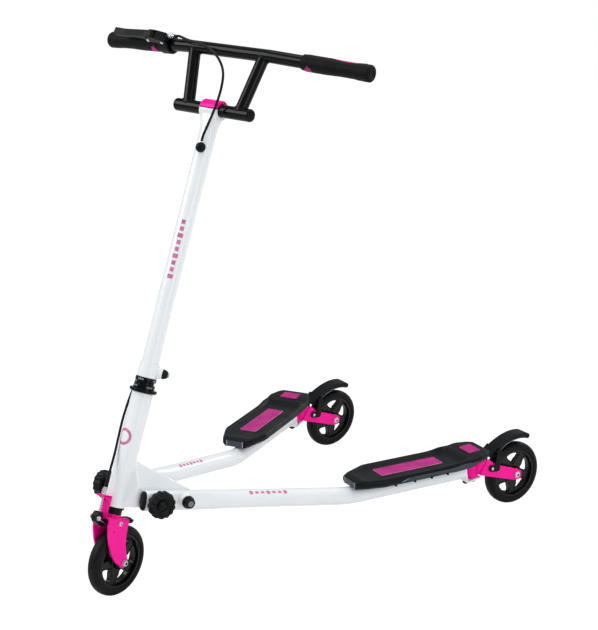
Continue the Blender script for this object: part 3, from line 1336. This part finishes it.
def make_knob(side, pivot_place):
    """Lobed clamp knob with its bolt through the arm into the gusset."""
    on = side + "_knob_axis"
    body(on, pivot_place, "frame")
    seat = ARM_HALF_THICKNESS + GAP
    low = seat + KNOB_HUB_LENGTH[side]
    high = low + KNOB_LENGTH
    count = KNOB_LOBES * 2
    stations = [(low, -0.0022), (low + 0.002, 0.0), (high - 0.0065, 0.0), (high - 0.0055, -0.0015),
                (high - 0.0012, -0.0015), (high, -0.0030)]
    sections = []
    for height, grow in stations:
        loop = []
        for step in range(count):
            angle = 2.0 * math.pi * step / count
            radius = KNOB_RADIUS + grow + KNOB_LOBE_DEPTH * math.cos(KNOB_LOBES * angle)
            loop.append((radius * math.cos(angle), radius * math.sin(angle), height))
        sections.append(loop)
    name = side + "_clamp_knob"
    knob = add(name, loft(name, sections), on, pivot_place, black_plastic())
    dish = [(0.0, high - 0.0015), (0.0050, high - 0.0020), (0.0085, high - 0.0030), (0.0110, high - 0.0055),
            (0.0150, high - 0.0045), (0.0195, high - 0.0010), (0.0200, high + 0.01), (0.0, high + 0.01)]
    cut(knob, revolve(name + "_dish", dish, 20), on, pivot_place)
    shaft = [(0.0, -KNOB_BOLT_REACH), (KNOB_BOLT_RADIUS, -KNOB_BOLT_REACH), (KNOB_BOLT_RADIUS, seat),
             (KNOB_HUB_RADIUS, seat), (KNOB_HUB_RADIUS, low + 0.004), (0.0, low + 0.004)]
    join(knob, revolve(name + "_shaft", shaft, 16), on, pivot_place)


def make_arm_pin(side, pin_place):
    on = side + "_arm_pin_axis"
    body(on, pin_place, side + "_arm_axis")
    tip = -(ARM_HALF_THICKNESS - GAP)
    pull_pin(side + "_arm_pin", on, pin_place, ARM_BOSS_REACH, tip, ARM_PIN_CAP_RADIUS, PIN_CAP_LENGTH)


def yoke_outline():
    """Side view of a yoke plate, (y, z) from the wheel's centre."""
    foot = arc((0.0, 0.0), YOKE_FOOT_RADIUS, 58, -112, 6)
    return [(-0.0940, 0.0180), (-0.0740, 0.0480), (-0.0570, 0.0330), *foot]


def make_caster(side):
    """Swivelling yoke with its axle and wheel, and the fender brake on it."""
    king = kingpin_axis_frame(side)
    level = kingpin_frame(side)
    on = side + "_caster_axis"
    body(on, king, side + "_arm_axis")
    hub = level @ shift(0, CASTER_TRAIL, 0)
    name = side + "_caster_yoke"
    low, high = pivot_tube_span()
    yoke = add(name, rod(name, PIVOT_TUBE_RADIUS, low, high, 16), on, king, pink_paint())
    inside = YOKE_HALF_WIDTH - YOKE_PLATE
    neck = PIVOT_TUBE_RADIUS - 0.001
    wide = YOKE_HALF_WIDTH - 0.0002
    taper = [(neck, -0.0965, 0.0175), (neck, -0.0945, 0.0395), (wide, -0.0850, 0.0165), (wide, -0.0720, 0.0440)]
    corners = [(sign * x, y, z) for x, y, z in taper for sign in (-1, 1)]
    join(yoke, hull(name + "_taper", corners), on, hub)
    for low_x, high_x in ((-YOKE_HALF_WIDTH, -inside), (inside, YOKE_HALF_WIDTH)):
        join(yoke, prism(name + "_plate", yoke_outline(), low_x, high_x), on, hub)
    cut(yoke, rod(name + "_king_bore", KINGPIN_RADIUS + GAP, -0.01, 0.08, 12), on, king)
    across = across_frame(hub, 0, 0)
    reach = YOKE_HALF_WIDTH + 0.01
    cut(yoke, rod(name + "_axle_bore", AXLE_RADIUS + GAP, -reach, reach, 12), on, across)
    fender_pivot = across_frame(hub, *FENDER_PIVOT)
    cut(yoke, rod(name + "_fender_bore", FENDER_PIN_RADIUS + GAP, -reach, reach, 10), on, fender_pivot)
    outside = YOKE_HALF_WIDTH + GAP
    name = side + "_rear_axle"
    add(name, bolt(name, AXLE_RADIUS, -outside, outside, AXLE_HEAD_RADIUS, AXLE_HEAD_LENGTH * 0.8), on, across,
        steel())
    wheel_on = side + "_rear_wheel_axis"
    body(wheel_on, across, on)
    wheel(side + "_rear", wheel_on, across)
    make_fender(side, on, hub)


def make_fender(side, caster, hub):
    """Curved foot brake over the wheel, hinged on pins through the yoke's plates."""
    on = side + "_fender_axis"
    pivot = hub @ shift(0, *FENDER_PIVOT)
    body(on, pivot @ turn("Y", math.pi / 2), caster)
    name = side + "_fender"
    shell = [
        (-0.0690, 0.0480), (-0.0585, 0.0552), (-0.0445, 0.0650), (-0.0215, 0.0758), (-0.0020, 0.0812),
        (0.0120, 0.0822), (0.0230, 0.0800), (0.0300, 0.0745), (0.0310, 0.0700), (0.0270, 0.0685),
        (0.0180, 0.0712), (0.0060, 0.0725), (-0.0110, 0.0712), (-0.0280, 0.0655), (-0.0445, 0.0550),
        (-0.0535, 0.0472), (-0.0610, 0.0470),
    ]
    fender = add(name, prism(name, shell, -FENDER_HALF_WIDTH, FENDER_HALF_WIDTH), on, hub, black_plastic())
    inner = YOKE_HALF_WIDTH + GAP
    outer = inner + FENDER_EAR
    beam = [(-0.0545, 0.0495), (-0.0520, 0.0580), (-0.0450, 0.0630), (-0.0430, 0.0570), (-0.0500, 0.0510)]
    join(fender, prism(name + "_beam", beam, -outer, outer), on, hub)
    eye = arc(FENDER_PIVOT, FENDER_EAR_RADIUS, 80, 275, 6)
    ear = [*eye, (-0.0510, 0.0180), (-0.0465, 0.0215), (-0.0440, 0.0560), (-0.0520, 0.0565), (-0.0535, 0.0330),
           (-0.0580, 0.0300)]
    for low_x, high_x in ((-outer, -inner), (inner, outer)):
        join(fender, prism(name + "_ear", ear, low_x, high_x), on, hub)
    pin_place = across_frame(pivot, 0, 0)
    inside = YOKE_HALF_WIDTH - YOKE_PLATE
    for sign in (-1.0, 1.0):
        low, high = sorted((sign * (inside + GAP), sign * (outer - GAP)))
        join(fender, rod(name + "_pin", FENDER_PIN_RADIUS, low, high, 10), on, pin_place)


def level_on_wheels():
    """Tip the whole scooter until its three wheels stand on one level plane."""
    bpy.context.view_layer.update()
    contacts = []
    for name in ("front_wheel_axis", "left_rear_wheel_axis", "right_rear_wheel_axis"):
        place = bodies[name][0].matrix_world
        axle = place.to_3x3() @ Vector((0, 0, 1))
        down = (axle * axle.z - Vector((0, 0, 1))).normalized()
        contacts.append(place.translation + down * WHEEL_RADIUS)
    front, left, right = contacts
    normal = (right - front).cross(left - front).normalized()
    normal = normal if normal.z > 0 else -normal
    tip = normal.rotation_difference(Vector((0, 0, 1))).to_matrix().to_4x4()
    root = bodies["frame"][0]
    root.matrix_basis = tip @ root.matrix_basis


def stand_on_origin():
    """Move the whole scooter so that its box stands centred on the origin."""
    bpy.context.view_layer.update()
    graph = bpy.context.evaluated_depsgraph_get()
    corners = []
    for item in bpy.data.objects:
        if item.type == "EMPTY" or item.hide_render:
            continue
        made = item.evaluated_get(graph)
        mesh = made.to_mesh()
        corners += [made.matrix_world @ vertex.co for vertex in mesh.vertices]
        made.to_mesh_clear()
    cloud = np.array([tuple(c) for c in corners])
    low = cloud.min(axis=0)
    high = cloud.max(axis=0)
    middle = (low + high) / 2
    root = bodies["frame"][0]
    root.matrix_basis = Matrix.Translation(Vector((-middle[0], -middle[1], -low[2]))) @ root.matrix_basis
    bpy.context.view_layer.update()


def build():
    clear_scene()
    make_frame()
    make_fork()
    make_brake_arm()
    make_front_wheel()
    make_t_bar()
    body("bar_pin_axis", collar_pin_frame(), "t_bar")
    pull_pin("bar_lock_pin", "bar_pin_axis", collar_pin_frame(), COLLAR_BOSS_REACH, STEERER_RADIUS + 0.0008,
             COLLAR_BOSS_RADIUS, PIN_CAP_LENGTH * 0.85)
    make_lever()
    make_cables()
    for side in SIDES:
        pin_place, pivot_place = make_arm(side)
        make_knob(side, pivot_place)
        make_arm_pin(side, pin_place)
        make_caster(side)
        pose(side + "_caster_axis", CASTER_REST[side])
    pose("steering", STEER_REST)
    level_on_wheels()
    stand_on_origin()


build()
